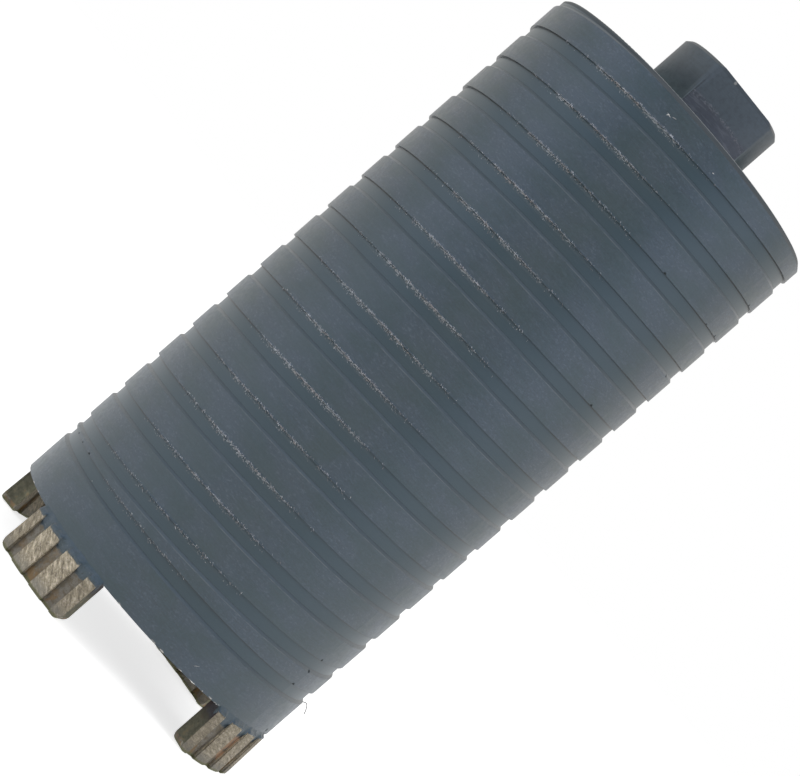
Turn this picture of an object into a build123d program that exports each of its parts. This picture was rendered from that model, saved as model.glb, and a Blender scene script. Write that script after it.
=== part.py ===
from build123d import *
import os
from math import degrees

# Dry diamond core bit for masonry, standing on its cutting end.
# Frame: z = 0 at the free tips of the diamond segments, +Z along the axis to the hub.
# Lengths are in millimetres. Angles are in degrees, from +X and positive about +Z.

# Barrel: a turned steel tube with one helical relief groove round its outside.
barrel_diameter = 80.0
barrel_length = 156.8
barrel_wall = 2.5
barrel_end_chamfer = 1.0
groove_pitch = 10.0
groove_width = 3.6
groove_depth = 0.6
groove_ramp = 0.65
run_in_height = 10.15
run_in_extra_depth = 0.05
feed_start_angle = 75.0

# Diamond segments: sintered blocks with axial ribs inside and outside, on a plain foot.
segment_count = 4
segment_height = 12.3
segment_length = 24.0
segment_outer_clearance = 1.1
segment_inner_clearance = 0.8
segment_flare = 0.4
segment_foot = 0.6
segment_corner_radius = 2.0
segment_tip_chamfer = 0.4
segment_shoulder_chamfer = 0.25
rib_groove_count = 3
rib_groove_width = 3.07
end_rib_width = 2.93

# Back plate: a disc set flush in the hub end of the barrel and welded round its edge.
plate_thickness = 7.0
plate_gap = 0.03
plate_weld_reach = 1.0
plate_weld_crown = 0.4

# Hub: turned steel with a spigot in the back plate, a through thread and two spanner flats.
hub_diameter = 30.0
hub_height = 15.4
hub_end_chamfer = 0.8
hub_collar_height = 3.0
hub_flat_width = 24.0
hub_flat_angle = -45.0
hub_spigot_diameter = 22.0
hub_spigot_gap = 0.03
hub_weld_leg = 2.2
thread_minor_diameter = 13.84
thread_countersink = 1.3

# Diameters, radii and heights worked out from the sizes above.
barrel_radius = barrel_diameter / 2
bore_radius = barrel_radius - barrel_wall
segment_tip_diameter = barrel_diameter + 2 * segment_outer_clearance
segment_inner_diameter = barrel_diameter - 2 * barrel_wall - 2 * segment_inner_clearance
rim_z = segment_height
barrel_end_z = rim_z + barrel_length
plate_inner_z = barrel_end_z - plate_thickness
plate_radius = bore_radius - plate_gap
hub_end_z = barrel_end_z + hub_height
hub_radius = hub_diameter / 2
spigot_radius = hub_spigot_diameter / 2
thread_radius = thread_minor_diameter / 2
run_in_wall_z = rim_z + run_in_height + groove_width
cutter_overshoot = 2.0

# Angles that the segments' lengths take up on the outside of the barrel.
segment_span = degrees(segment_length / barrel_radius)
rib_groove_span = degrees(rib_groove_width / barrel_radius)
end_rib_span = degrees(end_rib_width / barrel_radius)

os.makedirs("parts", exist_ok=True)


def radial_plane(angle):
    """Plane through the axis: its x runs outward at this angle and its y runs up."""
    return Plane.XZ.rotated((0, 0, angle))


def facing_plane(angle, radius):
    """Plane square to the outward direction at this angle, x along the rim and y up."""
    return Plane.YZ.rotated((0, 0, angle)).offset(radius)


def groove_outline(wall_z, depth):
    """Section of the turning tool: a square wall at wall_z, a flat floor and a ramp below."""
    floor_radius = barrel_radius - depth
    outer_radius = barrel_radius + cutter_overshoot
    ramp_foot_z = wall_z - groove_width + groove_ramp
    ramp_drop = groove_ramp * (depth + cutter_overshoot) / depth
    Polyline(
        (floor_radius, wall_z),
        (outer_radius, wall_z),
        (outer_radius, ramp_foot_z - ramp_drop),
        (floor_radius, ramp_foot_z),
        close=True,
    )


# The tool plunges to a ring groove near the cutting rim, then feeds along a right-hand
# helix that runs out through the hub end. The outer corner there is chamfered last.
with BuildPart() as barrel:
    with BuildSketch(Plane.XZ):
        with BuildLine():
            Polyline(
                (bore_radius, rim_z),
                (barrel_radius, rim_z),
                (barrel_radius, barrel_end_z),
                (bore_radius, barrel_end_z),
                close=True,
            )
        make_face()
    revolve(axis=Axis.Z)

    with BuildSketch(Plane.XZ):
        with BuildLine():
            groove_outline(run_in_wall_z, groove_depth + run_in_extra_depth)
        make_face()
    revolve(axis=Axis.Z, mode=Mode.SUBTRACT)

    feed_length = barrel_end_z + groove_width + groove_pitch / 4 - run_in_wall_z
    feed_path = Helix(groove_pitch, feed_length, barrel_radius, mode=Mode.PRIVATE)
    feed_path = feed_path.rotate(Axis.Z, feed_start_angle).translate((0, 0, run_in_wall_z))
    with BuildSketch(radial_plane(feed_start_angle)):
        with BuildLine():
            groove_outline(run_in_wall_z, groove_depth)
        make_face()
    sweep(path=feed_path, is_frenet=True, mode=Mode.SUBTRACT)

    chamfer_reach = barrel_end_chamfer + cutter_overshoot
    with BuildSketch(Plane.XZ):
        with BuildLine():
            Polyline(
                (barrel_radius - chamfer_reach, barrel_end_z + cutter_overshoot),
                (barrel_radius + cutter_overshoot, barrel_end_z - chamfer_reach),
                (barrel_radius + cutter_overshoot, barrel_end_z + cutter_overshoot),
                close=True,
            )
        make_face()
    revolve(axis=Axis.Z, mode=Mode.SUBTRACT)

barrel.part.label = "barrel"
export_step(barrel.part, "parts/barrel.step")


with BuildPart() as back_plate:
    with BuildSketch(Plane.XY.offset(plate_inner_z)):
        Circle(plate_radius)
        Circle(spigot_radius + hub_spigot_gap, mode=Mode.SUBTRACT)
    extrude(amount=plate_thickness)

back_plate.part.label = "back_plate"
export_step(back_plate.part, "parts/back_plate.step")


# Low weld bead that bridges the joint between the back plate and the end of the barrel.
with BuildPart() as plate_weld:
    with BuildSketch(Plane.XZ):
        with BuildLine():
            Polyline(
                (plate_radius - plate_weld_reach, barrel_end_z),
                (bore_radius + plate_weld_reach, barrel_end_z),
                ((plate_radius + bore_radius) / 2, barrel_end_z + plate_weld_crown),
                close=True,
            )
        make_face()
    revolve(axis=Axis.Z)

plate_weld.part.label = "plate_weld"
export_step(plate_weld.part, "parts/plate_weld.step")


# Turned hub: its spigot fills the hole in the back plate, its collar stands on the plate,
# and the flats are milled down to the collar.
with BuildPart() as hub:
    with BuildSketch(Plane.XZ):
        with BuildLine():
            Polyline(
                (0, plate_inner_z),
                (spigot_radius, plate_inner_z),
                (spigot_radius, barrel_end_z),
                (hub_radius, barrel_end_z),
                (hub_radius, hub_end_z - hub_end_chamfer),
                (hub_radius - hub_end_chamfer, hub_end_z),
                (0, hub_end_z),
                close=True,
            )
        make_face()
    revolve(axis=Axis.Z)

    with BuildSketch(Plane.XY.offset(hub_end_z)):
        Circle(hub_radius + cutter_overshoot)
        Rectangle(
            hub_flat_width,
            2 * (hub_diameter + cutter_overshoot),
            rotation=hub_flat_angle,
            mode=Mode.SUBTRACT,
        )
    extrude(amount=hub_collar_height - hub_height, mode=Mode.SUBTRACT)

    with Locations((0, 0, hub_end_z)):
        Hole(thread_radius)
    thread_mouths = hub.edges().filter_by(GeomType.CIRCLE).group_by(SortBy.RADIUS)[0]
    chamfer(thread_mouths.sort_by(Axis.Z)[-1], length=thread_countersink)

hub.part.label = "hub"
export_step(hub.part, "parts/hub.step")


# Fillet weld in the corner between the hub's collar and the back plate.
with BuildPart() as hub_weld:
    with BuildSketch(Plane.XZ):
        with BuildLine():
            Polyline(
                (hub_radius, barrel_end_z),
                (hub_radius + hub_weld_leg, barrel_end_z),
                (hub_radius, barrel_end_z + hub_weld_leg),
                close=True,
            )
        make_face()
    revolve(axis=Axis.Z)

hub_weld.part.label = "hub_weld"
export_step(hub_weld.part, "parts/hub_weld.step")


def make_segment(angle):
    """One cutting segment centred on this angle, with its foot on the barrel's rim."""
    tip_radius = segment_tip_diameter / 2
    inner_radius = segment_inner_diameter / 2
    rib_top_z = segment_height - segment_foot
    groove_reach = (segment_span - rib_groove_span) / 2 - end_rib_span
    first_end = angle - segment_span / 2
    last_end = angle + segment_span / 2

    with BuildPart() as segment:
        # The ribbed body flares towards the tips, so that the bit clears its own barrel.
        with BuildSketch(radial_plane(first_end)) as rib_section:
            with BuildLine():
                Polyline(
                    (inner_radius, 0),
                    (tip_radius, 0),
                    (tip_radius - segment_flare, rib_top_z),
                    (inner_radius, rib_top_z),
                    close=True,
                )
            make_face()
            chamfer(rib_section.vertices().group_by(Axis.Y)[0], length=segment_tip_chamfer)
            chamfer(rib_section.vertices().group_by(Axis.Y)[-1], length=segment_shoulder_chamfer)
        revolve(axis=Axis.Z, revolution_arc=segment_span)

        # The core and the foot carry on the wall of the barrel.
        with BuildSketch(radial_plane(first_end)):
            with Locations((bore_radius, 0)):
                Rectangle(barrel_wall, segment_height, align=Align.MIN)
        revolve(axis=Axis.Z, revolution_arc=segment_span)

        # Grooves between the ribs, cut down to the core from both sides.
        outer_reach = segment_outer_clearance + cutter_overshoot
        inner_reach = segment_inner_clearance + cutter_overshoot
        for index in range(rib_groove_count):
            centre = angle + groove_reach * (2 * index / (rib_groove_count - 1) - 1)
            with BuildSketch(radial_plane(centre - rib_groove_span / 2)):
                with Locations((barrel_radius, 0)):
                    Rectangle(outer_reach, segment_height, align=Align.MIN)
                with Locations((bore_radius, 0)):
                    Rectangle(inner_reach, segment_height, align=(Align.MAX, Align.MIN))
            revolve(axis=Axis.Z, revolution_arc=rib_groove_span, mode=Mode.SUBTRACT)

        # The two free corners are rounded along the radial ends.
        cutter_size = segment_corner_radius + cutter_overshoot
        for end, side, outward in ((first_end, 1, Align.MAX), (last_end, -1, Align.MIN)):
            with BuildSketch(facing_plane(end, inner_radius - cutter_overshoot)):
                with Locations((side * segment_corner_radius, segment_corner_radius)):
                    Rectangle(cutter_size, cutter_size, align=(outward, Align.MAX))
                    Circle(segment_corner_radius, mode=Mode.SUBTRACT)
            cut_length = tip_radius - inner_radius + 2 * cutter_overshoot
            extrude(amount=cut_length, mode=Mode.SUBTRACT)
    return segment


for index in range(segment_count):
    segment = make_segment(360 / segment_count * index)
    segment.part.label = f"segment_{index + 1}"
    export_step(segment.part, f"parts/segment_{index + 1}.step")
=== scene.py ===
import math
import random

import bmesh
import bpy
from mathutils import Matrix, Vector, noise


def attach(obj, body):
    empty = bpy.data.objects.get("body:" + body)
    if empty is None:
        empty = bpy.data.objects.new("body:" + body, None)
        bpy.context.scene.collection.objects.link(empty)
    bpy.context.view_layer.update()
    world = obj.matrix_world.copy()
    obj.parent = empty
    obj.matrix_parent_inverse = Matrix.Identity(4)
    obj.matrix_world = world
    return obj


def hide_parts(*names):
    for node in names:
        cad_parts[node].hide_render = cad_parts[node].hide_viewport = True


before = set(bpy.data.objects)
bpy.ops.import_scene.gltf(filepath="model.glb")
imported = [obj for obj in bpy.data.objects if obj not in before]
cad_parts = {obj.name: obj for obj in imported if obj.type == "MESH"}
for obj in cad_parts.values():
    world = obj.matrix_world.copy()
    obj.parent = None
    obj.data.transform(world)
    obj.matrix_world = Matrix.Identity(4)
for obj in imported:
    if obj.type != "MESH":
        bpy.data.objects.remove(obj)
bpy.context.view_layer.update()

# Diamond core bit, standing on its cutting end. Frame: metres, z = 0 at the tips of the
# segments, +Z to the hub. Unless a comment says otherwise, lengths below are in millimetres,
# which MM turns into metres, and angles are in degrees.
MM = 0.001

# Sizes repeated from the CAD model.
BARREL_R = 40.0
BORE_R = 37.5
RIM_Z = 12.3
BARREL_END_Z = 169.1
HUB_FOOT_Z = 162.1
HUB_END_Z = 184.5
HUB_FLAT_OUT = 12.0
HUB_FLAT_ANGLE = -45
# Half the angle of a segment, and the edges of its ribs from its middle.
SEGMENT_HALF = 17.19
RIBS = ((-SEGMENT_HALF, -12.99), (-8.59, -2.20), (2.20, 8.59), (12.99, SEGMENT_HALF))
# The relief groove: at WALL_ANGLE, on the camera's side, its square wall is a whole number of
# pitches above the rim. A ring groove, with its wall at RING_WALL_Z, starts it.
PITCH = 10.0
WALL_ANGLE = -60.0
GROOVE_WIDTH = 3.6
GROOVE_DEPTH = 0.6
RAMP = 0.65
RING_WALL_Z = 26.05


def at(angle, radius, height):
    """The place in metres at an angle, a radius and a height."""
    turn = math.radians(angle)
    return Vector((radius * math.cos(turn), radius * math.sin(turn), height)) * MM


def outward(angle):
    """Unit vector outward at an angle."""
    return at(angle, 1, 0).normalized()


def segment_middle(number):
    """Angle of the middle of a segment."""
    return 90 * (number - 1)


# ---------------------------------------------------------------- camera and lamps

# Camera fitted to the photo: its place is in metres and its turns are in radians. The shift
# is half a pixel of the photo's frame.
CAMERA_PLACE = (0.2766, -0.4791, 0.0957)
CAMERA_TURN = math.radians(30) - 0.0027
CAMERA_PITCH = -0.0191
CAMERA_ROLL = 0.8532
CAMERA_LENS = 111.43
SENSOR_WIDTH = 36
HALF_PIXEL = 0.5 / 800

# Soft lamps on both sides of the bit, at this angle from the side that the camera sees, with
# their power in watts.
LAMP_ANGLE = 67
LAMP_DISTANCE = 900
LAMP_HEIGHT = 450
LAMP_SIZE = 600
LAMP_POWER = 2.8
AIM_HEIGHT = 90


def add_object(name, data):
    """A new object in the scene."""
    thing = bpy.data.objects.new(name, data)
    bpy.context.scene.collection.objects.link(thing)
    return thing


def add_camera():
    """Camera at the photo's viewing angle: level with the barrel and rolled to the left."""
    ahead = Vector((
        -math.sin(CAMERA_TURN) * math.cos(CAMERA_PITCH),
        math.cos(CAMERA_TURN) * math.cos(CAMERA_PITCH),
        math.sin(CAMERA_PITCH),
    ))
    level_right = Vector((math.cos(CAMERA_TURN), math.sin(CAMERA_TURN), 0))
    level_up = level_right.cross(ahead)
    cos_roll, sin_roll = math.cos(CAMERA_ROLL), math.sin(CAMERA_ROLL)
    right = cos_roll * level_right + sin_roll * level_up
    up = cos_roll * level_up - sin_roll * level_right
    data = bpy.data.cameras.new("camera")
    data.sensor_width = SENSOR_WIDTH
    data.lens = CAMERA_LENS
    data.shift_x = -HALF_PIXEL
    data.shift_y = HALF_PIXEL
    camera = add_object("camera", data)
    turn = Matrix((right, up, -ahead)).transposed()
    camera.matrix_world = Matrix.Translation(CAMERA_PLACE) @ turn.to_4x4()
    bpy.context.scene.camera = camera


def add_lamp(name, angle):
    """Square lamp aimed at the middle of the barrel. Reflections show the world instead."""
    place = at(WALL_ANGLE + angle, LAMP_DISTANCE, LAMP_HEIGHT)
    aim = at(0, 0, AIM_HEIGHT) - place
    data = bpy.data.lights.new(name, "AREA")
    data.size = LAMP_SIZE * MM
    data.energy = LAMP_POWER
    lamp = add_object(name, data)
    lamp.location = place
    lamp.rotation_euler = aim.to_track_quat("-Z", "Y").to_euler()
    lamp.visible_glossy = False


# ---------------------------------------------------------------- node trees of materials


class Tree:
    """Short calls for building a node tree."""

    def __init__(self, node_tree, kind="Material"):
        self.nodes = node_tree.nodes
        self.links = node_tree.links
        self.nodes.clear()
        self.output = self.nodes.new("ShaderNodeOutput" + kind)

    def put(self, socket, value):
        """Links a socket to a socket, or writes a plain value into it."""
        if isinstance(value, bpy.types.NodeSocket):
            self.links.new(value, socket)
        elif socket.type == "RGBA" and len(value) == 3:
            socket.default_value = (*value, 1.0)
        else:
            socket.default_value = value

    def node(self, kind, inputs=None, **settings):
        node = self.nodes.new("ShaderNode" + kind)
        for name, value in settings.items():
            setattr(node, name, value)
        for key, value in (inputs or {}).items():
            self.put(node.inputs[key], value)
        return node

    def math(self, operation, a, b=0.0, c=0.0):
        return self.node("Math", {0: a, 1: b, 2: c}, operation=operation).outputs[0]

    def times(self, first, *rest):
        for value in rest:
            first = self.math("MULTIPLY", first, value)
        return first

    def either(self, first, *rest):
        for value in rest:
            first = self.math("MAXIMUM", first, value)
        return first

    def vector(self, x, y, z=0.0):
        return self.node("CombineXYZ", {0: x, 1: y, 2: z}).outputs[0]

    def dot(self, a, b):
        return self.node("VectorMath", {0: a, 1: b}, operation="DOT_PRODUCT").outputs["Value"]

    def scaled(self, vector, x, y, z):
        """A vector or colour with each of its parts multiplied by a number."""
        inputs = {0: vector, 1: (x, y, z)}
        return self.node("VectorMath", inputs, operation="MULTIPLY").outputs[0]

    def brightened(self, colour, factor):
        """A colour multiplied by a socket."""
        inputs = {0: colour, "Scale": factor}
        return self.node("VectorMath", inputs, operation="SCALE").outputs[0]

    def noise(self, place, scale, detail, roughness=0.5):
        inputs = {"Vector": place, "Scale": scale, "Detail": detail, "Roughness": roughness}
        return self.node("TexNoise", inputs).outputs["Fac"]

    def ramp(self, value, low, high, bottom=0.0, top=1.0, smooth=True):
        """Step of a value from bottom at low to top at high."""
        inputs = {
            "Value": value, "From Min": low, "From Max": high, "To Min": bottom, "To Max": top,
        }
        kind = "SMOOTHSTEP" if smooth else "LINEAR"
        return self.node("MapRange", inputs, interpolation_type=kind).outputs["Result"]

    def band(self, value, centre, half_width, softness):
        """1 where a value is within half_width of centre, falling to 0 over softness."""
        away = self.math("ABSOLUTE", self.math("SUBTRACT", value, centre))
        return self.ramp(away, half_width, half_width + softness, 1.0, 0.0)

    def colours(self, value, steps):
        """Colour ramp from (place, colour) steps."""
        node = self.node("ValToRGB", {0: value})
        stops = node.color_ramp.elements
        for place, colour in steps:
            stop = stops.new(place)
            stop.color = (*colour, 1.0)
        stops.remove(stops[0])
        stops.remove(stops[len(stops) - 1])
        return node.outputs["Color"]

    def mix(self, amount, a, b):
        """Mix of two colours. Each may be a socket or three numbers."""
        node = self.node("Mix", data_type="RGBA")
        for index, value in ((0, amount), (6, a), (7, b)):
            self.put(node.inputs[index], value)
        return node.outputs[2]

    def blend(self, amount, a, b):
        """Mix of two plain values."""
        return self.node("Mix", {0: amount, 2: a, 3: b}).outputs[0]

    def bump(self, height, distance, under=None):
        """Normal from a height of 0 to 1 that stands for a distance, over another normal."""
        inputs = {"Height": height, "Distance": distance * MM}
        if under is not None:
            inputs["Normal"] = under
        return self.node("Bump", inputs).outputs[0]

    def finish(self, **sockets):
        """Principled shader with these sockets. Returns the material."""
        inputs = {name.replace("_", " "): value for name, value in sockets.items()}
        shader = self.node("BsdfPrincipled", inputs)
        self.put(self.output.inputs["Surface"], shader.outputs[0])
        return self.material


def material_tree(name, kind=Tree):
    material = bpy.data.materials.new(name)
    material.use_nodes = True
    tree = kind(material.node_tree)
    tree.material = material
    return tree


class RoundTree(Tree):
    """Tree with the place on the bit as its height, radius and angle."""

    def __init__(self, node_tree):
        super().__init__(node_tree)
        place = self.node("TexCoord").outputs["Object"]
        self.place = self.scaled(place, 1 / MM, 1 / MM, 1 / MM)
        x, y, self.z = self.node("SeparateXYZ", {0: self.place}).outputs
        self.angle = self.math("DEGREES", self.math("ARCTAN2", y, x))
        flat = self.scaled(self.place, 1, 1, 0)
        self.radius = self.node("VectorMath", {0: flat}, operation="LENGTH").outputs["Value"]

    def drawn_out(self, level, upright, detail, roughness=0.5):
        """Noise with its own periods per millimetre, level and upright."""
        place = self.scaled(self.place, level, level, upright)
        return self.noise(place, 1.0, detail, roughness)

    def near_angle(self, centre, half_width, softness):
        """1 within half_width of an angle round the bit, 0 beyond the softness."""
        turned = self.math("RADIANS", self.math("SUBTRACT", self.angle, centre))
        inner = math.cos(math.radians(half_width))
        outer = math.cos(math.radians(half_width + softness))
        return self.ramp(self.math("COSINE", turned), outer, inner)

    def spot(self, place, size):
        """1 within a size of a place that is in metres, with a soft edge."""
        away = self.node("VectorMath", {0: self.place, 1: place / MM}, operation="DISTANCE")
        return self.ramp(away.outputs["Value"], 0.6 * size, 1.4 * size, 1.0, 0.0)

    def from_wall(self):
        """Height above the nearest turn of the groove's square wall, and that turn's height."""
        turn = self.math("MULTIPLY_ADD", self.angle, -1 / 360, WALL_ANGLE / 360)
        level = self.math("MULTIPLY_ADD", self.z, 1 / PITCH, -RIM_Z / PITCH)
        part = self.math("FRACT", self.math("ADD", self.math("ADD", level, turn), 0.5))
        above = self.math("MULTIPLY_ADD", part, PITCH, -PITCH / 2)
        return above, self.math("SUBTRACT", self.z, above)


# ---------------------------------------------------------------- surroundings and floor

# Colours of the surroundings in reflections, by their angle from the front: the dim room in
# front of the bit, the soft boxes beside it, and the white sweep behind it.
FRONT = outward(WALL_ANGLE)
GLOSS_STEPS = (
    (0, (0.02, 0.02, 0.02)),
    (20, (0.06, 0.08, 0.10)),
    (42, (0.78, 0.92, 1.24)),
    (66, (1.00, 1.10, 1.38)),
    (84, (1.15, 1.20, 1.38)),
    (93, (0.45, 0.50, 0.62)),
    (108, (1.05, 1.00, 0.94)),
)
# Strength of the even light from all round.
AMBIENT = 0.5
WHITE = (1, 1, 1, 1)
# The floor: half its side, its height, its colour, and the strength of the white that is added
# where it is looked at but not where it lights the bit.
FLOOR_HALF = 4000
FLOOR_Z = -0.05
FLOOR_GREY = (0.8, 0.8, 0.8, 1)
FLOOR_LIFT = 0.74


def add_surroundings():
    """White background for the camera, a white sweep in reflections, and even soft light."""
    world = bpy.data.worlds.new("studio")
    bpy.context.scene.world = world
    world.use_nodes = True
    tree = Tree(world.node_tree, "World")
    rays = tree.node("LightPath").outputs
    way = tree.node("TexCoord").outputs["Generated"]
    place = tree.ramp(tree.dot(way, FRONT), -1, 1, smooth=False)
    steps = [(0.5 + 0.5 * math.cos(math.radians(angle)), tint) for angle, tint in GLOSS_STEPS]
    sweep = tree.node("Background", {"Color": tree.colours(place, steps)})
    white = tree.node("Background", {"Color": WHITE, "Strength": 1.0})
    light = tree.node("Background", {"Color": WHITE, "Strength": AMBIENT})
    clear = tree.either(rays["Is Camera Ray"], rays["Is Transmission Ray"])
    glossy = rays["Is Glossy Ray"]
    lit = tree.node("MixShader", {0: glossy, 1: light.outputs[0], 2: sweep.outputs[0]})
    both = tree.node("MixShader", {0: clear, 1: lit.outputs[0], 2: white.outputs[0]})
    tree.put(tree.output.inputs["Surface"], both.outputs[0])


def add_floor():
    """Pale floor, white to the camera and in reflections, that keeps the bit's soft shadow."""
    mesh = bpy.data.meshes.new("floor")
    corners = [Vector((x * FLOOR_HALF, y * FLOOR_HALF, FLOOR_Z)) * MM
               for x, y in ((-1, -1), (1, -1), (1, 1), (-1, 1))]
    mesh.from_pydata(corners, [], [(0, 1, 2, 3)])
    floor = add_object("floor", mesh)
    tree = material_tree("floor")
    rays = tree.node("LightPath").outputs
    seen = tree.either(rays["Is Camera Ray"], rays["Is Glossy Ray"])
    seen = tree.either(seen, rays["Is Transmission Ray"])
    matte = tree.node("BsdfDiffuse", {"Color": FLOOR_GREY})
    glow = tree.node("Emission", {"Color": WHITE, "Strength": tree.times(seen, FLOOR_LIFT)})
    both = tree.node("AddShader", {0: matte.outputs[0], 1: glow.outputs[0]})
    tree.put(tree.output.inputs["Surface"], both.outputs[0])
    mesh.materials.append(tree.material)


# ---------------------------------------------------------------- materials

# Colours that the materials share: the paint, bare metal and what lies on them, some also used
# for painted highlight and painted shade.
PAINT_TEAL = (0.033, 0.061, 0.073)
PAINT_BLUE = (0.043, 0.068, 0.093)
PAINT_RUN_IN = (0.045, 0.070, 0.086)
PAINT_LIGHT_TONE_AND_HIGHLIGHT = (0.065, 0.091, 0.110)
PAINT_SHEEN = (0.083, 0.113, 0.143)
PAINT_GROOVE = (0.025, 0.052, 0.067)
PAINT_WORN_AND_HIGHLIGHT = (0.135, 0.160, 0.180)
PAINT_PALE = (0.150, 0.180, 0.200)
# Dirt, and also the painted shade in the groove and on the chamfers.
DIRT_AND_SHADE = (0.021, 0.026, 0.028)
BARE = (0.40, 0.42, 0.44)
BARE_WARM = (0.44, 0.39, 0.37)
BARE_CHIP = (0.55, 0.53, 0.50)
TAR = (0.010, 0.013, 0.013)
PAINT_IOR = 1.6

# Zones round the barrel where the burr on the groove's wall is bare and bright, each as
# (middle angle, half width). Elsewhere it is painted over, and the corner under the wall keeps
# its painted shade.
BURR_ZONES = ((-77, 36), (58, 30), (168, 36))
# Where the outer edge of the groove's ramp is worn and carries a painted highlight, and where
# the painted shade in the corner under the wall is weaker, each as (middle angle, half width,
# softness).
WORN_EDGE_AND_HIGHLIGHT = (-50, 22, 24)
WEAK_CORNER_SHADE_ZONE = (-55, 20, 32)
# Small dark marks on the barrel, each as (angle, height, radius).
DARK_SPOTS = (
    (15.2, 13.74, 0.45), (-1.2, 26.02, 0.50), (-0.3, 30.57, 0.42), (-0.5, 34.2, 0.30),
    (-129.0, 26.0, 0.40), (-121.0, 26.0, 0.35), (-113.0, 26.0, 0.45),
    (10.6, 154.3, 0.40), (11.3, 144.3, 0.45), (-1.2, 143.9, 0.35), (9.5, 130.8, 0.40),
    (-9.5, 113.7, 0.45), (-30.6, 143.1, 0.42),
)


def groove_marks(tree, above, on_helix, zone):
    """How worn the outer edge of the groove's ramp is with its painted highlight, the painted
    highlight on its ramp, and the painted shade.

    The painted shade lies at the foot of the ramp and in the corner under the wall, less where
    the burr is bare and in one more zone round the barrel.
    """
    above_ring = tree.math("SUBTRACT", tree.z, RING_WALL_Z)
    uneven = tree.drawn_out(0.25, 0.25, 3.0)
    # Wear on the outer edge of the ramp, with a painted highlight.
    edge = tree.band(above, -GROOVE_WIDTH, 0.06, 0.08)
    edge = tree.times(edge, on_helix, tree.ramp(uneven, 0.35, 0.6, 0.1, 0.75))
    edge = tree.times(edge, tree.near_angle(*WORN_EDGE_AND_HIGHLIGHT))

    # Painted highlight on the ramps of the helical groove and of the ring groove.
    ramp_middle, ramp_half = RAMP / 2 - GROOVE_WIDTH, RAMP / 2 - 0.05
    painted_slope_highlight = tree.times(tree.band(above, ramp_middle, ramp_half, 0.05), on_helix)
    painted_slope_highlight = tree.either(painted_slope_highlight, tree.band(above_ring, ramp_middle, ramp_half, 0.05))

    # Painted shade at the foot of the ramps and in the corners under the walls, weaker in the
    # burr zones and one more zone.
    foot = tree.times(tree.band(above, RAMP - GROOVE_WIDTH, 0.06, 0.10), on_helix)
    ring_foot = tree.band(above_ring, RAMP - GROOVE_WIDTH, 0.06, 0.10)
    corner = tree.times(tree.band(above, -0.08, 0.10, 0.10), on_helix)
    ring_corner = tree.times(tree.band(above_ring, -0.08, 0.08, 0.10), 0.8)
    weak_corner_shade = tree.near_angle(*WEAK_CORNER_SHADE_ZONE)
    corner = tree.times(corner, tree.ramp(tree.either(zone, weak_corner_shade), 0.0, 0.7, 1.0, 0.12))
    painted_groove_shade = tree.either(tree.times(foot, 0.35), tree.times(ring_foot, 0.4), corner, ring_corner)
    painted_groove_shade = tree.times(painted_groove_shade, tree.ramp(uneven, 0.25, 0.6, 0.45, 0.85))
    return edge, painted_slope_highlight, painted_groove_shade


def burr_specks(tree, above, wall, on_helix, zone):
    """Bare metal on the wall, in the corner and on the land's edge, weaker on the first turns.

    Returns how much of it shows, its colour and the height of its relief.
    """
    patchy = tree.drawn_out(0.12, 0.12, 2.0)
    strength = tree.math("ADD", zone, tree.ramp(patchy, 0.3, 0.7, -0.35, 0.15))
    strength = tree.times(strength, tree.ramp(wall, 30.0, 48.0, 0.35, 1.0))
    torn = tree.drawn_out(1.9, 3.0, 3.0, 0.7)
    reach = tree.ramp(above, -1.05, -0.25)
    reach = tree.times(reach, tree.ramp(above, 0.10, 0.45, 1.0, 0.0), on_helix)
    level = tree.math("SUBTRACT", tree.times(reach, tree.ramp(strength, 0.1, 0.9)), 1.0)
    speck = tree.ramp(tree.math("ADD", torn, tree.times(level, 0.45)), 0.46, 0.56)
    metal = tree.mix(tree.ramp(patchy, 0.42, 0.56), BARE_WARM, BARE)
    return speck, metal, tree.times(torn, reach, zone)


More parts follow.
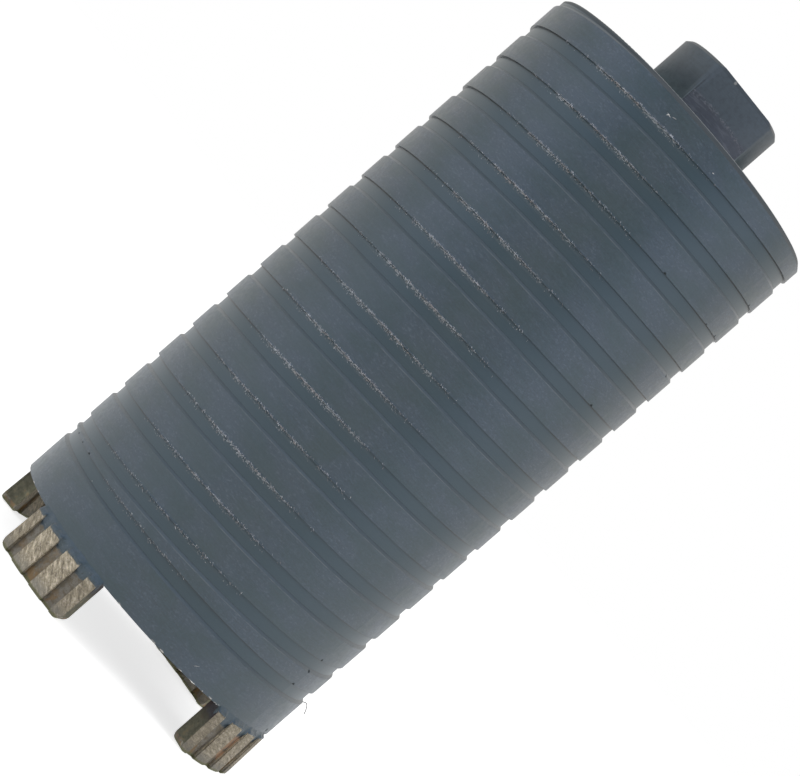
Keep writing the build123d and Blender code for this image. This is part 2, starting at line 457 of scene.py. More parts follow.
def barrel_material():
    """Satin paint over turned steel, worn to bare metal along the burr of the groove."""
    tree = material_tree("barrel_paint", RoundTree)
    above, wall = tree.from_wall()
    on_helix = tree.ramp(wall, RING_WALL_Z - 0.05, RING_WALL_Z + 0.05, smooth=False)
    zone = tree.either(*(tree.near_angle(middle, 0, half) for middle, half in BURR_ZONES))
    in_groove = tree.ramp(tree.radius, BARREL_R - 0.45, BARREL_R - 0.15, 1.0, 0.0)

    # Clouded and mottled paint that shows the turning marks, brushed lighter in places.
    cloud = tree.drawn_out(0.11, 0.2, 3.0)
    mottle = tree.noise(tree.place, 0.8, 4.0, 0.65)
    turned = tree.drawn_out(0.06, 1.6, 3.0)
    fine = tree.drawn_out(0.35, 4.5, 2.0)
    grain = tree.noise(tree.place, 2.2, 3.0, 0.7)
    colour = tree.mix(tree.ramp(cloud, 0.35, 0.65), PAINT_TEAL, PAINT_BLUE)
    colour = tree.mix(tree.ramp(turned, 0.40, 0.80, 0.0, 0.30), colour, PAINT_LIGHT_TONE_AND_HIGHLIGHT)
    colour = tree.mix(tree.ramp(mottle, 0.35, 0.75, 0.0, 0.30), colour, PAINT_LIGHT_TONE_AND_HIGHLIGHT)
    colour = tree.mix(tree.ramp(fine, 0.30, 0.70, 0.18, 0.0), colour, DIRT_AND_SHADE)
    colour = tree.mix(tree.ramp(grain, 0.36, 0.54, 0.22, 0.0), colour, DIRT_AND_SHADE)
    brushed = tree.ramp(tree.drawn_out(1.1, 2.6, 4.0, 0.7), 0.52, 0.66)
    brushed = tree.times(brushed, tree.ramp(cloud, 0.40, 0.62, 0.20, 0.80))
    colour = tree.mix(brushed, colour, PAINT_SHEEN)

    # The groove with its painted highlight and painted shade, dark dots, and painted shade on
    # the chamfer at the hub end.
    edge, painted_slope_highlight, painted_groove_shade = groove_marks(tree, above, on_helix, zone)
    colour = tree.mix(tree.times(in_groove, 0.85), colour, PAINT_GROOVE)
    # Wear and painted highlight on the outer edge of the ramp.
    colour = tree.mix(edge, colour, PAINT_WORN_AND_HIGHLIGHT)
    # Painted highlight on the ramp.
    colour = tree.mix(tree.times(painted_slope_highlight, 0.9), colour, PAINT_LIGHT_TONE_AND_HIGHLIGHT)
    # Painted shade at the ramp's foot and in the corner under the wall.
    colour = tree.mix(painted_groove_shade, colour, DIRT_AND_SHADE)
    spots = [tree.spot(at(angle, BARREL_R, height), size) for angle, height, size in DARK_SPOTS]
    tar = tree.either(*spots)
    colour = tree.mix(tar, colour, TAR)
    # Painted shade on the chamfer at the hub end.
    end = tree.ramp(tree.z, BARREL_END_Z - 1.05, BARREL_END_Z - 0.95)
    colour = tree.mix(tree.times(end, 0.70), colour, DIRT_AND_SHADE)

    # Bare metal of the torn burr, and small chips on the cutting rim.
    speck, metal, torn_relief = burr_specks(tree, above, wall, on_helix, zone)
    colour = tree.mix(tree.times(speck, 0.7), colour, metal)
    rim = tree.ramp(tree.z, RIM_Z + 0.05, RIM_Z + 0.45, 1.0, 0.0)
    chips = tree.times(tree.ramp(tree.drawn_out(0.55, 0.9, 3.0, 0.6), 0.60, 0.66), rim)
    colour = tree.mix(chips, colour, BARE_CHIP)
    bare = tree.either(speck, chips)

    # Relief and gloss of all these.
    height = tree.math("ADD", tree.times(turned, 0.5), tree.times(fine, 0.3))
    normal = tree.bump(height, 0.030)
    normal = tree.bump(mottle, 0.020, normal)
    normal = tree.bump(torn_relief, 0.15, normal)
    rough = tree.ramp(mottle, 0.3, 0.7, 0.36, 0.46)
    rough = tree.blend(in_groove, rough, 0.41)
    rough = tree.blend(end, rough, 0.60)
    rough = tree.blend(tar, rough, 1.0)
    return tree.finish(
        Base_Color=colour, Roughness=tree.blend(bare, rough, 0.42),
        Metallic=tree.times(bare, 0.5), IOR=PAINT_IOR, Normal=normal,
    )


def plate_material(name):
    """The same paint, on parts turned on a lathe."""
    tree = material_tree(name, RoundTree)
    mottle = tree.noise(tree.place, 0.9, 4.0, 0.6)
    rings = tree.noise(tree.vector(tree.radius, tree.z), 2.4, 3.0)
    colour = tree.mix(tree.ramp(mottle, 0.3, 0.7), PAINT_TEAL, PAINT_BLUE)
    colour = tree.mix(tree.ramp(rings, 0.45, 0.75, 0.0, 0.4), colour, PAINT_LIGHT_TONE_AND_HIGHLIGHT)
    normal = tree.bump(mottle, 0.02, tree.bump(rings, 0.02))
    return tree.finish(Base_Color=colour, Roughness=0.4, IOR=PAINT_IOR, Normal=normal)


# Colours of the hub: the flats and low on them, the turned sides and the painted light low on
# them, and marks.
HUB_FLAT = (0.056, 0.073, 0.086)
HUB_LOW = (0.044, 0.050, 0.066)
HUB_SIDE = (0.057, 0.075, 0.087)
HUB_PAINTED_LIGHT = (0.165, 0.205, 0.215)
HUB_FLAW = (0.30, 0.30, 0.29)
HUB_STREAK = (0.22, 0.22, 0.24)
HUB_SCRATCH = (0.105, 0.110, 0.130)
# The front flat: its directions outward and level along it, half its length, and the height of
# a pale streak across it.
FLAT_OUTWARD = outward(HUB_FLAT_ANGLE)
FLAT_ALONG = outward(HUB_FLAT_ANGLE + 90)
FLAT_HALF = 9.0
STREAK_Z = 176.7
# Chip at the top edge of the front flat: its place along it from the middle, its height, and
# its size.
FLAW_ALONG = -3.86
FLAW_Z = 184.0
FLAW_SIZE = 0.35


def hub_material():
    """Darker paint, with milling marks on the two flats and turning marks elsewhere."""
    tree = material_tree("hub_paint", RoundTree)
    out = tree.math("ABSOLUTE", tree.dot(tree.place, FLAT_OUTWARD))
    along = tree.dot(tree.place, FLAT_ALONG)
    on_flat = tree.band(out, HUB_FLAT_OUT, 0.02, 0.05)

    mottle = tree.noise(tree.place, 0.9, 4.0, 0.6)
    turned = tree.drawn_out(0.1, 2.5, 3.0)
    bow = tree.times(along, along, 0.012)
    milled_place = tree.vector(tree.times(along, 0.12), tree.math("ADD", tree.z, bow))
    milled = tree.noise(milled_place, 1.9, 3.0, 0.6)

    # Painted light near the plate, darker low on the flats, with painted shade at one side of
    # the flats and on the chamfer, and a chip.
    # Painted light on the turned sides near the plate.
    base = tree.ramp(tree.z, BARREL_END_Z + 1.0, BARREL_END_Z + 9.5, 0.85, 0.0)
    colour = tree.mix(on_flat, tree.mix(base, HUB_SIDE, HUB_PAINTED_LIGHT), HUB_FLAT)
    low = tree.times(on_flat, tree.ramp(tree.z, STREAK_Z - 0.9, STREAK_Z + 0.7, 1.0, 0.0))
    colour = tree.mix(tree.times(low, 0.85), colour, HUB_LOW)
    # Painted shade low at one side of the flats and on the chamfer.
    side = tree.band(along, 0.05 - FLAT_HALF, 0.08, 0.12)
    side = tree.times(side, tree.ramp(tree.z, 179.0, 180.0, 1.0, 0.0))
    chamfer = tree.ramp(tree.z, HUB_END_Z - 0.85, HUB_END_Z - 0.75)
    painted_edge_shade = tree.either(tree.times(side, 0.8), tree.times(chamfer, 0.4))
    colour = tree.mix(painted_edge_shade, colour, DIRT_AND_SHADE)
    flaw_place = HUB_FLAT_OUT * FLAT_OUTWARD + FLAW_ALONG * FLAT_ALONG + Vector((0, 0, FLAW_Z))
    colour = tree.mix(tree.spot(flaw_place * MM, FLAW_SIZE), colour, HUB_FLAW)

    # Milling and turning marks, a pale streak across the flats and scratches under it.
    marks = tree.blend(on_flat, turned, milled)
    colour = tree.mix(tree.ramp(marks, 0.45, 0.75, 0.0, 0.35), colour, PAINT_LIGHT_TONE_AND_HIGHLIGHT)
    colour = tree.mix(tree.ramp(mottle, 0.3, 0.6, 0.3, 0.0), colour, DIRT_AND_SHADE)
    streak = tree.band(tree.math("ADD", tree.z, bow), STREAK_Z, 0.25, 0.5)
    broken = tree.ramp(tree.drawn_out(1.3, 2.2, 3.0, 0.7), 0.46, 0.64)
    streak = tree.times(streak, on_flat, broken)
    colour = tree.mix(tree.times(streak, 0.4), colour, HUB_STREAK)
    scratches = tree.times(low, tree.ramp(milled, 0.50, 0.66, 0.0, 0.5))
    colour = tree.mix(scratches, colour, HUB_SCRATCH)

    normal = tree.bump(turned, 0.02)
    normal = tree.bump(tree.math("ADD", mottle, streak), 0.03, normal)
    return tree.finish(Base_Color=colour, Roughness=0.52, IOR=PAINT_IOR, Normal=normal)


# Colours of the segments: the tops of the ribs, the sintered metal between and under them,
# and what stains it.
RIB_TAN = (0.305, 0.263, 0.187)
RIB_PALE = (0.60, 0.53, 0.41)
RIB_PINK = (0.52, 0.45, 0.40)
RIB_DARK = (0.110, 0.092, 0.062)
RIB_WORN = (0.185, 0.176, 0.152)
MATRIX_GREY = (0.235, 0.218, 0.185)
MATRIX_BROWN = (0.170, 0.145, 0.105)
MATRIX_OLIVE = (0.145, 0.146, 0.068)
END_DARK = (0.090, 0.086, 0.054)
END_LIGHT = (0.165, 0.158, 0.105)
RUST = (0.27, 0.175, 0.075)
COPPER = (0.36, 0.235, 0.150)
STAIN = (0.235, 0.155, 0.075)
HEAT = (0.035, 0.022, 0.022)

# How the segments differ: see segment_material.
SEGMENTS = {
    1: dict(rib_bleed=0.4, groove_bleed=2.9, contrast=0.60, slant=14, light=1.02, inside_painted_light=1.2,
            walls_painted_light=1.9, rust=0.95, rusty_side=0.0, rust_colour=COPPER),
    2: dict(rib_bleed=0.8, groove_bleed=2.5, contrast=0.60, slant=30, light=1.2, inside_painted_light=1.6,
            walls_painted_light=1.3, rust=0.80, rusty_side=-10.8, rust_colour=RUST),
    3: dict(rib_bleed=1.2, groove_bleed=3.0, contrast=0.60, slant=-35, light=1.2, inside_painted_light=1.6,
            walls_painted_light=1.3, rust=0.50, rusty_side=10.8, rust_colour=RUST),
    4: dict(rib_bleed=1.5, groove_bleed=3.0, contrast=0.80, slant=41, light=1.42, inside_painted_light=1.2,
            walls_painted_light=1.3, rust=0.35, rusty_side=0.0, rust_colour=RUST),
}


def rib_hatch(tree, arc, slant):
    """Slanting scratches of the dressing stone across the tops of the ribs."""
    cos_slant, sin_slant = math.cos(math.radians(slant)), math.sin(math.radians(slant))
    along = tree.math("SUBTRACT", tree.times(arc, cos_slant), tree.times(tree.z, sin_slant))
    across = tree.math("ADD", tree.times(arc, sin_slant), tree.times(tree.z, cos_slant))
    place = tree.vector(tree.times(along, 0.28), across, tree.times(tree.radius, 0.5))
    return tree.noise(place, 1.8, 4.0, 0.7)


def rib_top_colour(tree, hatch, grit, lumps, aside, contrast, light):
    """Hatched tops of the ribs, worn near the tips and darker on the outermost ribs."""
    top = tree.mix(tree.ramp(hatch, 0.51, 0.64, 0.0, contrast), RIB_TAN, RIB_PALE)
    top = tree.mix(tree.ramp(hatch, 0.36, 0.49, contrast, 0.0), top, RIB_DARK)
    top = tree.mix(tree.ramp(grit, 0.54, 0.64, 0.0, 0.6), top, RIB_PINK)
    top = tree.mix(tree.ramp(grit, 0.34, 0.44, 0.7, 0.0), top, RIB_DARK)
    worn = tree.ramp(tree.z, 1.2, 4.0, 1.0, 0.0)
    worn = tree.times(worn, tree.ramp(lumps, 0.3, 0.6, 0.4, 0.8))
    top = tree.mix(worn, top, RIB_WORN)
    top = tree.scaled(top, light, light, light)
    outermost = tree.ramp(aside, RIBS[-1][0] - 0.99, RIBS[-1][0] - 0.09, 0.0, 0.3)
    return tree.mix(outermost, top, RIB_DARK)


def segment_end_colour(tree, lumps):
    """Dark ends of a segment, scorched near the weld."""
    ends = tree.mix(tree.ramp(lumps, 0.3, 0.7), END_DARK, END_LIGHT)
    ends = tree.mix(tree.times(tree.ramp(lumps, 0.55, 0.68), 0.4), ends, RUST)
    scorch = tree.ramp(tree.math("ADD", tree.z, tree.times(lumps, 5.0)), 9.5, 13.0)
    return tree.mix(scorch, ends, HEAT)


def segment_material(
    number, rib_bleed, groove_bleed, contrast, slant, light, inside_painted_light, walls_painted_light, rust, rusty_side,
    rust_colour,
):
    """Sintered metal with hatched rib tops, rust in the grooves and paint run in at the root.

    The bleeds are how far down the barrel's paint comes on ribs and in grooves. contrast and
    slant are those of the hatch on the ribs. light is how bright the tops of the ribs are, and
    the next two are painted light that brightens the inner side and the sides of the ribs. rust
    is the strength of the stain in one groove, at the angle rusty_side from the middle of the
    segment.
    """
    tree = material_tree(f"segment_matrix_{number}", RoundTree)
    # Angle from the middle of the segment, from -180 to 180, and its length on the barrel.
    turned = tree.math("ADD", tree.math("SUBTRACT", tree.angle, segment_middle(number)), 540)
    local = tree.math("SUBTRACT", tree.math("MODULO", turned, 360), 180)
    aside = tree.math("ABSOLUTE", local)
    arc = tree.times(local, math.radians(BARREL_R))
    grit = tree.noise(tree.place, 2.6, 5.0, 0.7)
    lumps = tree.noise(tree.place, 0.75, 3.0, 0.6)

    # Where the tops of the ribs are, outside and inside, and the two ends of the segment.
    outer_rib = tree.ramp(tree.radius, BARREL_R + 0.25, BARREL_R + 0.45)
    inner_rib = tree.ramp(tree.radius, BORE_R - 0.45, BORE_R - 0.25, 1.0, 0.0)
    rib = tree.either(outer_rib, inner_rib)
    end = tree.ramp(aside, SEGMENT_HALF - 0.09, SEGMENT_HALF - 0.02)

    # Sintered metal, stained low down, with rust in one groove.
    base = tree.mix(tree.ramp(lumps, 0.40, 0.60), MATRIX_BROWN, MATRIX_GREY)
    base = tree.mix(tree.ramp(grit, 0.36, 0.52, 0.5, 0.0), base, RIB_DARK)
    stained = tree.drawn_out(0.5, 0.35, 3.0, 0.6)
    low = tree.times(tree.ramp(tree.z, 2.0, 6.0, 0.8, 0.0), tree.ramp(stained, 0.46, 0.58))
    base = tree.mix(low, base, STAIN)
    rusty = tree.times(tree.band(local, rusty_side, 3.0, 3.0), rust)
    rusty = tree.times(rusty, tree.ramp(stained, 0.40, 0.54))
    base = tree.mix(rusty, base, rust_colour)

    # The tops of the ribs over it, and painted light that brightens their sides.
    hatch = rib_hatch(tree, arc, slant)
    top = rib_top_colour(tree, hatch, grit, lumps, aside, contrast, light)
    colour = tree.mix(rib, base, top)
    # Painted light on the sides of the ribs.
    wall = tree.band(tree.radius, BARREL_R + 0.38, 0.24, 0.06)
    colour = tree.brightened(colour, tree.blend(wall, 1.0, walls_painted_light))

    # Olive band at the tips, the two ends, and painted light that brightens the inner side.
    tip = tree.ramp(tree.math("ADD", tree.z, tree.times(lumps, 0.6)), 0.75, 1.25, 1.0, 0.0)
    colour = tree.mix(tree.times(tip, 0.93), colour, MATRIX_OLIVE)
    colour = tree.mix(end, colour, segment_end_colour(tree, lumps))
    # Painted light on the inner side.
    hollow = tree.ramp(tree.radius, BORE_R - 0.2, BORE_R + 1.0, inside_painted_light, 1.0)
    colour = tree.brightened(colour, hollow)

    # Paint of the barrel, run in over the root with a ragged edge.
    ragged = tree.math("MULTIPLY_ADD", lumps, 1.6, -0.8)
    depth = tree.blend(rib, groove_bleed, rib_bleed)
    line = tree.math("SUBTRACT", RIM_Z, tree.math("ADD", depth, ragged))
    over = tree.math("SUBTRACT", tree.z, line)
    painted = tree.times(tree.ramp(over, -0.25, 0.35), tree.ramp(end, 0.0, 1.0, 1.0, 0.25))
    painted = tree.times(painted, tree.ramp(tree.radius, BORE_R - 0.1, BORE_R + 0.6))
    colour = tree.mix(tree.times(painted, 0.92), colour, PAINT_RUN_IN)

    # Relief and gloss of all these.
    normal = tree.bump(grit, 0.16)
    normal = tree.bump(tree.times(hatch, rib), 0.22, normal)
    normal = tree.bump(lumps, 0.25, normal)
    rough = tree.blend(painted, 0.68, 0.42)
    metal = tree.times(tree.math("SUBTRACT", 1.0, painted), 0.25)
    return tree.finish(
        Base_Color=colour, Roughness=rough, Metallic=metal, IOR=PAINT_IOR, Normal=normal,
    )


def root_material():
    """The barrel's paint over lumpy solder, a little dirtier."""
    tree = material_tree("root_paint", RoundTree)
    lumps = tree.noise(tree.place, 0.9, 4.0, 0.65)
    colour = tree.mix(tree.ramp(lumps, 0.3, 0.7), PAINT_TEAL, PAINT_BLUE)
    colour = tree.mix(tree.ramp(lumps, 0.45, 0.7, 0.0, 0.4), colour, PAINT_LIGHT_TONE_AND_HIGHLIGHT)
    grit = tree.noise(tree.place, 2.2, 4.0, 0.7)
    below = tree.ramp(tree.z, RIM_Z - 0.6, RIM_Z + 0.2, 1.0, 0.15)
    colour = tree.mix(tree.times(tree.ramp(lumps, 0.30, 0.48, 0.6, 0.0), below), colour, DIRT_AND_SHADE)
    pale = tree.times(tree.ramp(grit, 0.58, 0.68, 0.0, 0.6), below)
    colour = tree.mix(pale, colour, PAINT_PALE)
    colour = tree.mix(tree.times(tree.ramp(grit, 0.33, 0.42, 0.8, 0.0), below), colour, TAR)
    return tree.finish(
        Base_Color=colour, Roughness=0.43, IOR=PAINT_IOR, Normal=tree.bump(lumps, 0.10),
    )


def metal_material(name, light, dark, metallic, roughness):
    """Bare metal, uneven in tone."""
    tree = material_tree(name, RoundTree)
    tone = tree.noise(tree.place, 1.3, 3.0, 0.7)
    colour = tree.mix(tree.ramp(tone, 0.35, 0.65), dark, light)
    rough = tree.ramp(tone, 0.3, 0.7, roughness, roughness + 0.12)
    return tree.finish(Base_Color=colour, Metallic=metallic, Roughness=rough)


def dress(node, material):
    """Gives a CAD node its material."""
    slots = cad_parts[node].data.materials
    slots.clear()
    slots.append(material)


# ---------------------------------------------------------------- pieces


def way_round(angle, slant):
    """Unit vector round the bit from an angle, which climbs at a slant."""
    climb = math.radians(slant)
    return outward(angle + 90) * math.cos(climb) + Vector((0, 0, math.sin(climb)))


def turn_faces_out(mesh, merged_within=None):
    """Turns a closed mesh's faces outward, after merging its points within a distance."""
    shape = bmesh.new()
    shape.from_mesh(mesh)
    if merged_within is not None:
        bmesh.ops.remove_doubles(shape, verts=shape.verts, dist=merged_within * MM)
    bmesh.ops.recalc_face_normals(shape, faces=shape.faces)
    shape.to_mesh(mesh)
    shape.free()


def closed_mesh(name, points, faces):
    mesh = bpy.data.meshes.new(name)
    mesh.from_pydata(points, [], faces)
    turn_faces_out(mesh)
    return mesh


def smooth(mesh, angle):
    """Smooth shading that keeps the edges sharper than an angle."""
    mesh.shade_smooth()
    mesh.set_sharp_from_angle(angle=math.radians(angle))


def add_piece(name, points, faces, material, smooth_angle=None):
    """A mesh piece in the frame, riding on the bit."""
    mesh = closed_mesh(name, points, faces)
    if smooth_angle is not None:
        smooth(mesh, smooth_angle)
    mesh.materials.append(material)
    piece = add_object(name, mesh)
    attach(piece, "root")
    return piece


def add_sliver(points, faces, middle, along, half_width):
    """A closed splinter, pointed at both ends, as long as the vector along. In metres."""
    side = along.cross(middle).normalized() * half_width
    rise = side.cross(along).normalized() * half_width
    start = len(points)
    points.append(middle - along / 2)
    for corner in range(3):
        turn = 2 * math.pi * corner / 3
        points.append(middle + math.cos(turn) * side + math.sin(turn) * rise)
    points.append(middle + along / 2)
    for corner in range(3):
        a, b = start + 1 + corner, start + 1 + (corner + 1) % 3
        faces.append((start, b, a))
        faces.append((start + 4, a, b))


# Radii of the middles of splinters and flecks: just out of the land and of the groove's floor.
ON_LAND_R = BARREL_R + 0.01
ON_FLOOR_R = BARREL_R - GROOVE_DEPTH + 0.05
# Splinters: the seed of their draws, their mean step along the wall, with the shortest and
# longest step as shares of it, their shortest and longest length, their least and greatest
# half width, and the share of them that is on the wall's edge. The others are in the corner
# under the wall.
BURR_SEED = 11
SLIVER_STEP = 0.077
STEP_SHARES = (0.4, 1.6)
SLIVER_LENGTH = (0.22, 0.85)
SLIVER_HALF_WIDTH = (0.023, 0.053)
EDGE_SHARE = 0.55
# The helix's turns that carry burr, counted up from the rim, the gaps that it leaves over the
# ring groove and under the hub end, and the ring's own burr as (middle angle, half width,
# density).
BURR_TURNS = range(1, 16)
GAP_OVER_RING = 0.3
GAP_UNDER_END = 1.5
RING_BURR = (-80, 24, 0.45)


def add_burr(material):
    """Splinters of torn metal along the groove's square wall, thick where it is bare."""
    draw = random.Random(BURR_SEED)
    points, faces = [], []
    shortest, longest = SLIVER_LENGTH

    def tear(middle, half_width, turn, density):
        """Splinters in one zone of one turn. Turn 0 is the ring groove."""
        angle = middle - half_width
        while angle < middle + half_width:
            angle += draw.uniform(*STEP_SHARES) * SLIVER_STEP / math.radians(BARREL_R)
            # The chance of a splinter: clumps that thin out to the ends of the zone.
            clump = noise.noise(Vector((angle * 0.35, turn * 7.0, middle)))
            clump += 0.5 * noise.noise(Vector((angle * 1.7, turn * 3.0, middle)))
            fade = 1.0 - ((angle - middle) / half_width) ** 2
            chance = density * fade * (0.72 - 0.02 * turn + 1.2 * clump)
            luck, side, depth, slant, lift, size = (draw.random() for _ in range(6))
            wall_z = RIM_Z + PITCH * (turn + ((angle - WALL_ANGLE) % 360) / 360)
            if turn == 0:
                wall_z = RING_WALL_Z
            elif not RING_WALL_Z + GAP_OVER_RING <= wall_z <= BARREL_END_Z - GAP_UNDER_END:
                continue
            if luck > chance:
                continue
            # How far the middle of the splinter is out and below the wall.
            if side < EDGE_SHARE:
                radius, drop = ON_LAND_R, depth * 0.52 - 0.38
            else:
                radius, drop = ON_FLOOR_R, 0.08 + depth ** 1.5 * 0.85
            # It slants down, and stands off the wall a little.
            way = way_round(angle, -80 + 64 * slant)
            way += outward(angle) * (0.05 + 0.55 * lift ** 2)
            length = shortest + (longest - shortest) * size ** 2
            add_sliver(points, faces, at(angle, radius, wall_z - drop),
                       way.normalized() * length * MM, draw.uniform(*SLIVER_HALF_WIDTH) * MM)

    for middle, half_width in BURR_ZONES:
        for turn in BURR_TURNS:
            tear(middle, half_width, turn, min(1.0, 0.20 + 0.30 * turn))
    ring_middle, ring_half_width, ring_density = RING_BURR
    tear(ring_middle, ring_half_width, 0, ring_density)
    return add_piece("groove_burr", points, faces, material)


# Stray bright flecks on the paint and chips on the rim, each as (angle, height, length,
# slant from level, half width).
FLECKS = (
    (-67.0, 164.8, 1.0, 55, 0.13),
    (-66.7, 164.9, 1.3, -15, 0.12),
    (-65.0, 165.3, 1.3, 18, 0.075),
    (-44.9, 164.0, 0.55, 10, 0.16),
    (-34.7, 15.4, 1.7, 37, 0.045),
    (-37.2, 12.38, 1.2, 4, 0.10),
    (-31.6, 12.33, 2.2, -2, 0.12),
    (-19.3, 12.32, 0.4, 0, 0.12),
    (-102.0, 23.6, 0.3, 30, 0.07),
    (118.0, 88.0, 0.8, -35, 0.05),
    (20.0, 131.0, 0.6, 25, 0.06),
)


def add_flecks(material):
    points, faces = [], []
    for angle, height, length, slant, half_width in FLECKS:
        along = way_round(angle, slant) * length * MM
        add_sliver(points, faces, at(angle, ON_LAND_R, height), along, half_width * MM)
    return add_piece("bright_flecks", points, faces, material)


# Swarf: a fine curl of metal caught below the ring groove, as points of its line, each
# (angle, radius, height), and the radius of its section.
CURL = (
    (32.9, 39.5, 21.9), (32.9, 40.2, 22.2), (32.9, 40.75, 22.65),
    (32.8, 41.3, 22.5), (32.7, 41.75, 21.9), (32.7, 42.2, 21.2), (32.6, 42.4, 20.6),
)
CURL_HALF_WIDTH = 0.085


def add_curl(material):
    data = bpy.data.curves.new("swarf_curl", "CURVE")
    data.dimensions = "3D"
    data.bevel_depth = CURL_HALF_WIDTH * MM
    data.bevel_resolution = 2
    data.use_fill_caps = True
    line = data.splines.new("NURBS")
    line.points.add(len(CURL) - 1)
    for point, place in zip(line.points, CURL):
        point.co = (*at(*place), 1)
    line.order_u = 3
    line.use_endpoint_u = True
    line.resolution_u = 6
    data.materials.append(material)
    piece = add_object("swarf_curl", data)
    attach(piece, "root")


def ring_of(sections, closed):
    """Points and faces of a skin over sections that follow each other round the bit."""
    size = len(sections[0])
    count = len(sections)
    points = [point for section in sections for point in section]
    faces = []
    for here in range(count if closed else count - 1):
        there = (here + 1) % count
        for low in range(size):
            high = (low + 1) % size
            faces.append((here * size + low, here * size + high,
                          there * size + high, there * size + low))
    if not closed:
        faces.append(tuple(range(size)))
        faces.append(tuple((count - 1) * size + index for index in range(size)))
    return points, faces


# Skin of solder and paint over the segments' roots: half its angle and its step, the angle in
# which a rib goes over into a groove, and its sections on a rib and in a groove as (radius,
# height), from the outside of the barrel and from its rim. The points in ROOT_SHOWN are lumpy,
# and the others lie inside the metal.
ROOT_HALF = 17.3
ROOT_STEP = 0.3
RIB_SOFTNESS = 1.1
ROOT_ON_RIB = (
    (-0.15, 0.80), (0.02, 0.50), (0.15, 0.12), (0.48, -0.35), (0.74, -0.80),
    (0.82, -1.35), (0.74, -1.95), (0.40, -2.20), (-0.30, -1.00), (-0.30, 0.50),
)
ROOT_IN_GROOVE = (
    (-0.15, 0.75), (0.02, 0.48), (0.10, 0.10), (0.18, -0.35), (0.22, -0.85),
    (0.16, -1.45), (0.06, -2.05), (-0.15, -2.40), (-0.40, -1.40), (-0.40, 0.40),
)
ROOT_SHOWN = range(1, 7)
ROOT_SMOOTH_ANGLE = 85
# How far each segment's solder and paint run down, as shares of the heights below the rim, on
# its ribs and in its grooves.
ROOT_REACH = {1: (0.36, 1.15), 2: (0.6, 1.0), 3: (0.6, 1.1), 4: (0.72, 1.2)}


def on_rib(angle):
    """1 on a rib and 0 in a groove, with soft sides."""
    best = max(min(angle - low, high - angle) for low, high in RIBS)
    return min(1.0, max(0.0, best / RIB_SOFTNESS + 0.5))


def run_down(height, reach):
    """A height from the rim, multiplied by a reach where it is below the rim."""
    return height * reach if height < 0 else height


def add_root(number, material):
    """Run-in solder, painted over, where one segment meets the barrel."""
    rib_reach, groove_reach = ROOT_REACH[number]
    sections = []
    steps = round(2 * ROOT_HALF / ROOT_STEP)
    for step in range(steps + 1):
        angle = -ROOT_HALF + 2 * ROOT_HALF * step / steps
        share = on_rib(angle)
        section = []
        for index, (rib, groove) in enumerate(zip(ROOT_ON_RIB, ROOT_IN_GROOVE)):
            out = share * rib[0] + (1 - share) * groove[0]
            up = share * run_down(rib[1], rib_reach)
            up += (1 - share) * run_down(groove[1], groove_reach)
            if index in ROOT_SHOWN:
                wave = noise.noise(Vector((angle * 0.9, index * 0.6, number * 5.0)))
                lump = noise.noise(Vector((angle * 0.45, index * 0.35, number * 9.0)))
                out += 0.04 * wave + 0.08 * max(0.0, lump)
                up += 0.16 * lump
            section.append(at(segment_middle(number) + angle, BARREL_R + out, RIM_Z + up))
        sections.append(section)
    points, faces = ring_of(sections, closed=False)
    return add_piece(f"segment_root_{number}", points, faces, material,
                     ROOT_SMOOTH_ANGLE)


# Weld beads as (radius, height) round their section.
HUB_BEAD = (
    (15.0, 171.25), (15.35, 170.95), (15.85, 170.42), (16.4, 169.85), (16.9, 169.4),
    (17.15, 169.12), (16.2, 169.1), (15.0, 169.1),
)
PLATE_BEAD = (
    (36.50, 169.1), (36.72, 169.22), (37.05, 169.38), (37.48, 169.46),
    (37.90, 169.38), (38.25, 169.22), (38.48, 169.1), (37.50, 169.1),
)
STEPS_IN_RIPPLE = 6
BEAD_SMOOTH_ANGLE = 60


def add_bead(name, node, section, ripple, spacing, material):
    """Weld bead with ripples this deep and far apart, for a plain bead of the frame."""
    mean = sum(radius for radius, _ in section) / len(section)
    ripples = round(2 * math.pi * mean / spacing)
    steps = ripples * STEPS_IN_RIPPLE
    flat = min(height for _, height in section)
    sections = []
    for step in range(steps):
        angle = 360 * step / steps
        ring = []
        for radius, height in section:
            # Curved ripples cut into the bead, whose flat foot stays as it is.
            if height > flat + 0.01:
                lag = 0.9 * abs(radius - mean) / spacing
                phase = (ripples * angle / 360 - lag) % 1
                uneven = 0.05 * noise.noise(at(angle, radius, 0) * 400)
                height += min(ripple * (phase ** 0.5 - 0.75) + uneven, 0.0)
            ring.append(at(angle, radius, height))
        sections.append(ring)
    points, faces = ring_of(sections, closed=True)
    bead = add_piece(name, points, faces, material, BEAD_SMOOTH_ANGLE)
    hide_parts(node)


# M16 thread: the radii of its crest and root, its pitch, half the angle between its flanks,
# half the width of its root as a share of the pitch, and its steps in a turn.
THREAD_MINOR = 6.92
THREAD_MAJOR = 8.0
THREAD_PITCH = 2.0
THREAD_FLANK = 34.8
THREAD_ROOT_SHARE = 1 / 16
THREAD_STEPS = 40
# How far inside the hole the cutter starts, and how near points of the hub are merged to close
# its mesh before the cut.
CUTTER_START = 0.12
HUB_MERGE = 0.001
HUB_SMOOTH_ANGLE = 28


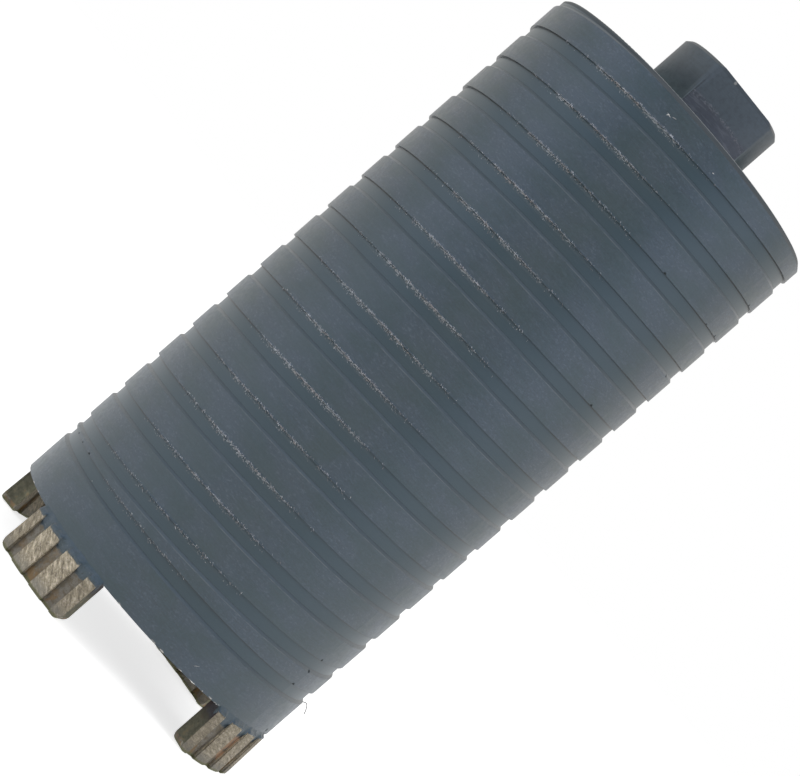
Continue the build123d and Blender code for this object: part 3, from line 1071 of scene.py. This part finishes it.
def thread_cutter():
    """Helical bar that is the hollow of the thread, a turn longer than the hole at each end."""
    inner = THREAD_MINOR - CUTTER_START
    half_root = THREAD_PITCH * THREAD_ROOT_SHARE
    half_mouth = half_root + (THREAD_MAJOR - inner) * math.tan(math.radians(THREAD_FLANK))
    outline = (
        (inner, -half_mouth), (THREAD_MAJOR, -half_root),
        (THREAD_MAJOR, half_root), (inner, half_mouth),
    )
    low, high = HUB_FOOT_Z - THREAD_PITCH, HUB_END_Z + THREAD_PITCH
    sections = []
    for step in range(round((high - low) / THREAD_PITCH * THREAD_STEPS) + 1):
        angle = 360 * step / THREAD_STEPS
        height = low + THREAD_PITCH * step / THREAD_STEPS
        sections.append([at(angle, radius, height + rise) for radius, rise in outline])
    return closed_mesh("thread_cutter", *ring_of(sections, closed=False))


def add_threaded_hub(material):
    """The frame's hub with the turns of its thread cut into the hole."""
    cutter = add_object("thread_cutter", thread_cutter())
    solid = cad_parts["hub"].data.copy()
    turn_faces_out(solid, HUB_MERGE)
    hub = add_object("threaded_hub", solid)
    cut = hub.modifiers.new("thread", "BOOLEAN")
    cut.operation = "DIFFERENCE"
    cut.solver = "EXACT"
    cut.object = cutter
    shown = hub.evaluated_get(bpy.context.evaluated_depsgraph_get())
    threaded = bpy.data.meshes.new_from_object(shown)
    hub.modifiers.clear()
    hub.data = threaded
    bpy.data.objects.remove(cutter)
    threaded.materials.clear()
    threaded.materials.append(material)
    smooth(threaded, HUB_SMOOTH_ANGLE)
    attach(hub, "root")
    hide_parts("hub")


# ---------------------------------------------------------------- the scene

bpy.context.scene.view_settings.view_transform = "Standard"
add_camera()
add_surroundings()
add_floor()
add_lamp("left_softbox", -LAMP_ANGLE)
add_lamp("right_softbox", LAMP_ANGLE)

weld_paint = plate_material("weld_paint")
hub_paint = hub_material()
root_paint = root_material()
dress("barrel", barrel_material())
dress("back_plate", plate_material("back_plate_paint"))
dress("plate_weld", weld_paint)
dress("hub_weld", weld_paint)
dress("hub", hub_paint)
for number, finish in SEGMENTS.items():
    dress(f"segment_{number}", segment_material(number, **finish))

add_burr(metal_material("burr_metal", light=(0.80, 0.82, 0.85), dark=(0.36, 0.32, 0.31),
                        metallic=0.3, roughness=0.4))
add_flecks(metal_material("bright_metal", light=(0.85, 0.84, 0.82), dark=(0.60, 0.58, 0.56),
                          metallic=0.2, roughness=0.4))
add_curl(metal_material("swarf_metal", light=(0.10, 0.09, 0.08), dark=(0.03, 0.03, 0.03),
                        metallic=0.6, roughness=0.4))
for number in SEGMENTS:
    add_root(number, root_paint)
add_bead("hub_weld_bead", "hub_weld", HUB_BEAD, ripple=0.22, spacing=1.5, material=weld_paint)
add_bead("plate_weld_bead", "plate_weld", PLATE_BEAD, ripple=0.15, spacing=1.2,
         material=weld_paint)
add_threaded_hub(hub_paint)
